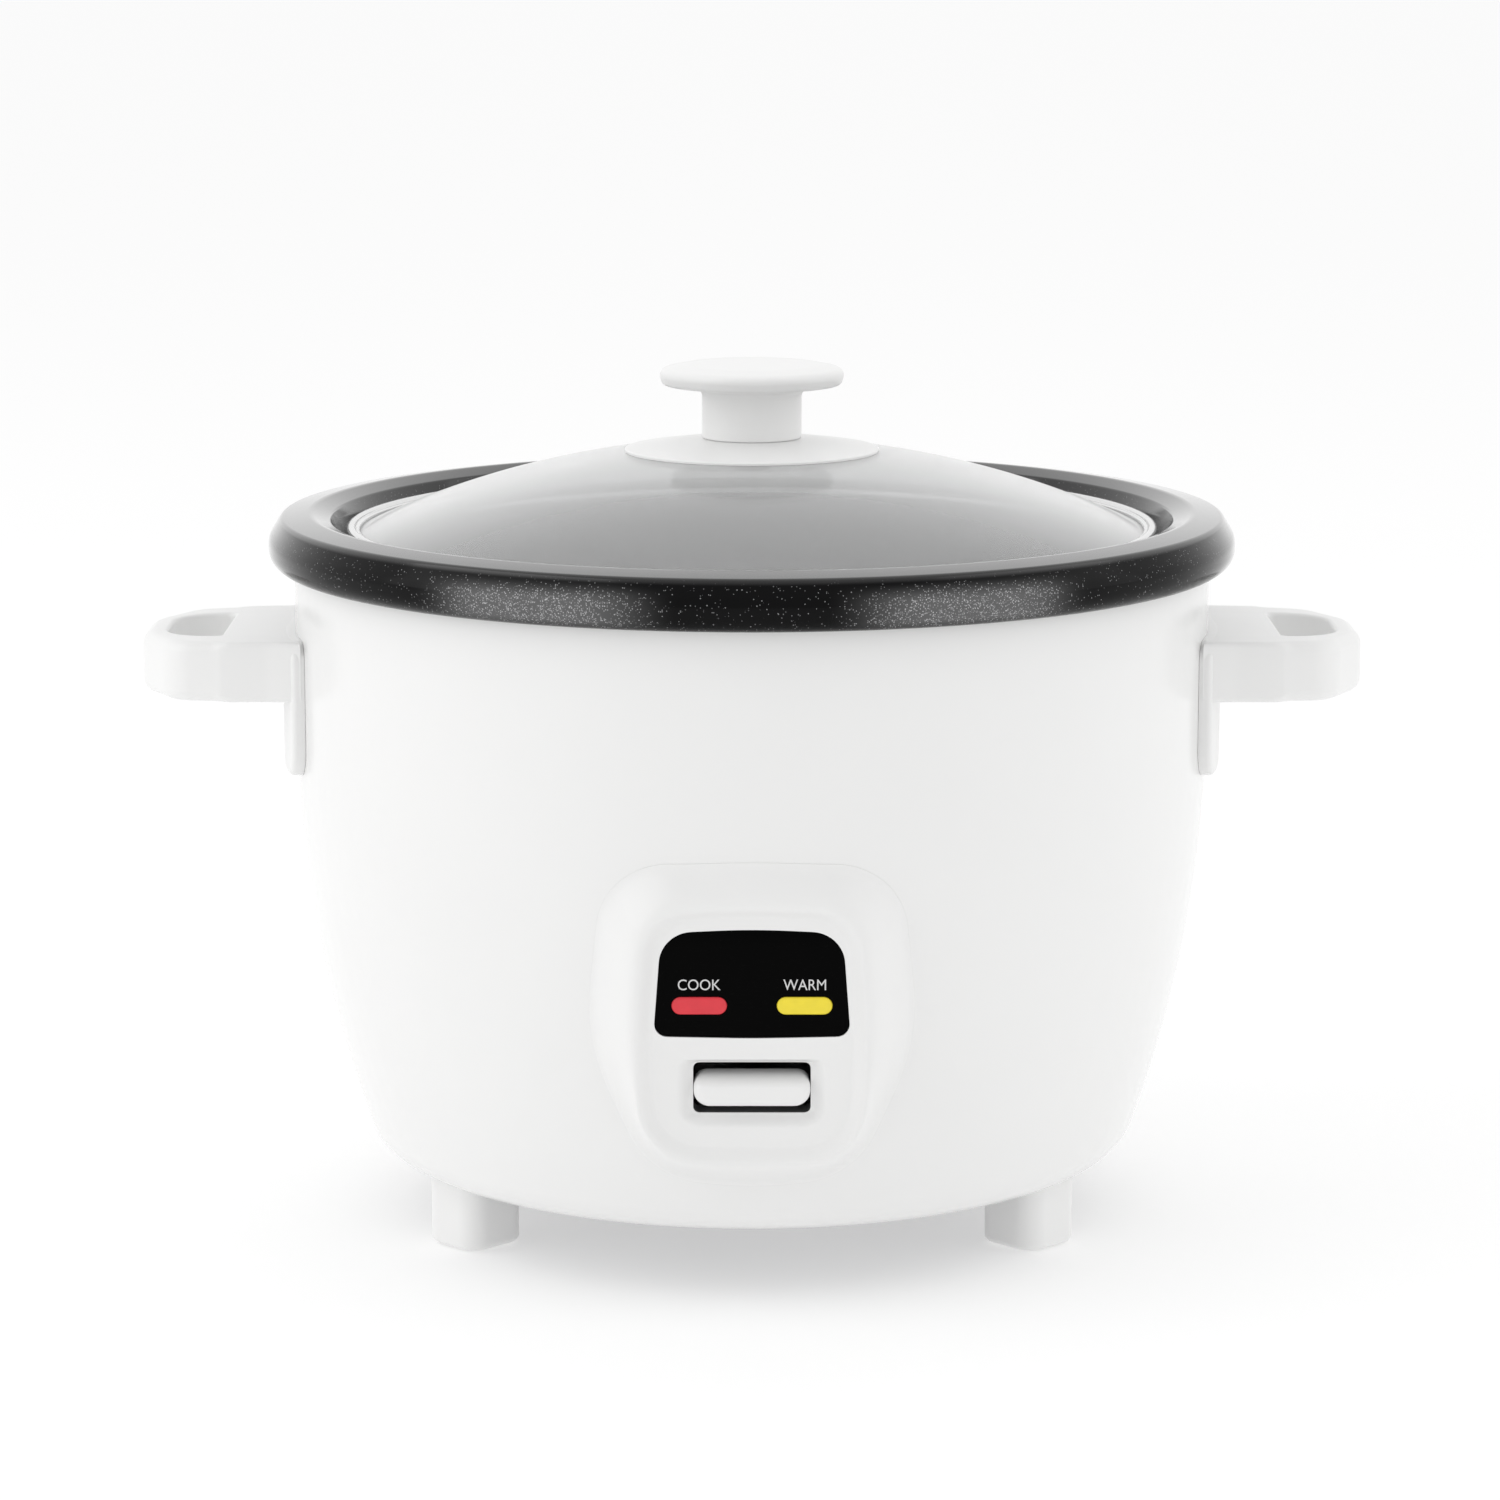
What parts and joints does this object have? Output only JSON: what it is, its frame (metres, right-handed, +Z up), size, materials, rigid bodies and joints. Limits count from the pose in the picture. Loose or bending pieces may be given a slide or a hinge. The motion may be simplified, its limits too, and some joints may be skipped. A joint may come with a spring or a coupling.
{
  "type": "rice cooker",
  "caption": "Countertop electric rice cooker: white body with side handles, lift-out non-stick pot, glass lid with a knob, indicator lamps and a press-down cook lever.",
  "frame": {"origin": "on the table under the middle of the round body", "axes": "+Z up, front panel and lever towards -Y, handles along X"},
  "size_m": [0.34, 0.2694, 0.2403],
  "materials": {
    "white_body": "gloss white",
    "white_trim": "gloss white moulding",
    "pot_coating": "black non-stick coating with fine silver speckle",
    "lid_glass": "clear tempered glass",
    "bright_steel": "polished",
    "plain_steel": "plain zinc-grey sheet",
    "screw_steel": "bright zinc",
    "window_black": "gloss black",
    "red_lens": "translucent red",
    "yellow_lens": "translucent yellow",
    "lamp_glass": "small clear lamp",
    "plate_aluminium": "cast, machined top",
    "magnet_black": "sintered ferrite",
    "switch_plastic": "black heat-proof plastic",
    "white_ceramic": "unglazed ceramic",
    "pin_brass": "plated pin",
    "soft_rubber": "soft rubber",
    "wire_cover": "heat-proof sleeve"
  },
  "bodies": {
    "cooker": {"body_shell": "white_body", "top_ring": "white_body", "liner": "plain_steel", "bottom_cover": "plain_steel", "panel_bezel": "white_trim", "indicator_window": "window_black", "cook_lens": "red_lens", "warm_lens": "yellow_lens", "cook_lamp": "lamp_glass", "warm_lamp": "lamp_glass", "handle_left": "white_trim", "handle_right": "white_trim", "handle_screw_left_front": "screw_steel", "handle_screw_left_rear": "screw_steel", "handle_screw_right_front": "screw_steel", "handle_screw_right_rear": "screw_steel", "lever_pin": "plain_steel", "lever_bracket": "plain_steel", "heating_plate": "plate_aluminium", "sensor_sleeve": "plain_steel", "sensor_spring": "screw_steel", "micro_switch": "switch_plastic", "switch_bracket": "plain_steel", "inlet_housing": "switch_plastic", "thermal_fuse": "switch_plastic", "warm_thermostat": "switch_plastic", "heater_terminal_left": "white_ceramic", "heater_terminal_right": "white_ceramic", "inlet_pin_left": "pin_brass", "inlet_pin_right": "pin_brass", "mains_wire_left": "wire_cover", "mains_wire_right": "wire_cover", "foot_1": "white_trim", "foot_2": "white_trim", "foot_3": "white_trim", "foot_pad_1": "soft_rubber", "foot_pad_2": "soft_rubber", "foot_pad_3": "soft_rubber", "cover_screw_1": "screw_steel", "cover_screw_2": "screw_steel", "cover_screw_3": "screw_steel", "plate_leg_1": "white_ceramic", "plate_leg_2": "white_ceramic", "plate_leg_3": "white_ceramic"},
    "pot": {"inner_pot": "pot_coating"},
    "lid": {"lid_glass": "lid_glass", "lid_ring": "bright_steel", "lid_knob_base": "white_trim", "lid_knob_cap": "white_trim", "lid_washer": "soft_rubber", "lid_screw": "screw_steel", "lid_vent_grommet": "bright_steel"},
    "lever": {"lever_arm": "plain_steel", "lever_knob": "white_trim"},
    "magnet_lift": {"magnet": "magnet_black", "magnet_rod": "plain_steel"},
    "sensor": {"sensor_cup": "plate_aluminium", "sensor_ferrite": "magnet_black"},
    "plunger": {"switch_plunger": "switch_plastic"}
  },
  "joints": [
    {"name": "pot_lift", "type": "slide", "parent": "cooker", "child": "pot", "axis": [0, 0, 1], "range_m": [0, 0.14]},
    {"name": "lid_lift", "type": "slide", "parent": "pot", "child": "lid", "axis": [0, 0, 1], "range_m": [0, 0.1]},
    {"name": "lever_press", "type": "hinge", "parent": "cooker", "child": "lever", "pos_m": [0, -0.08, 0.036], "axis": [1, 0, 0], "range_deg": [0, 2.2]},
    {"name": "magnet_rise", "type": "slide", "parent": "cooker", "child": "magnet_lift", "axis": [0, 0, 1], "range_m": [0, 0.0031]},
    {"name": "sensor_press", "type": "slide", "parent": "cooker", "child": "sensor", "axis": [0, 0, 1], "range_m": [-0.0025, 0], "stiffness_N_per_m": 800, "springref_m": 0.003, "deforming": ["sensor_spring"]},
    {"name": "plunger_rise", "type": "slide", "parent": "cooker", "child": "plunger", "axis": [0, 0, 1], "range_m": [0, 0.0012]}
  ],
  "couplings": [
    {"joint": "magnet_rise", "follows": "lever_press", "m_per_rad": 0.08},
    {"joint": "plunger_rise", "follows": "lever_press", "m_per_rad": 0.028}
  ]
}
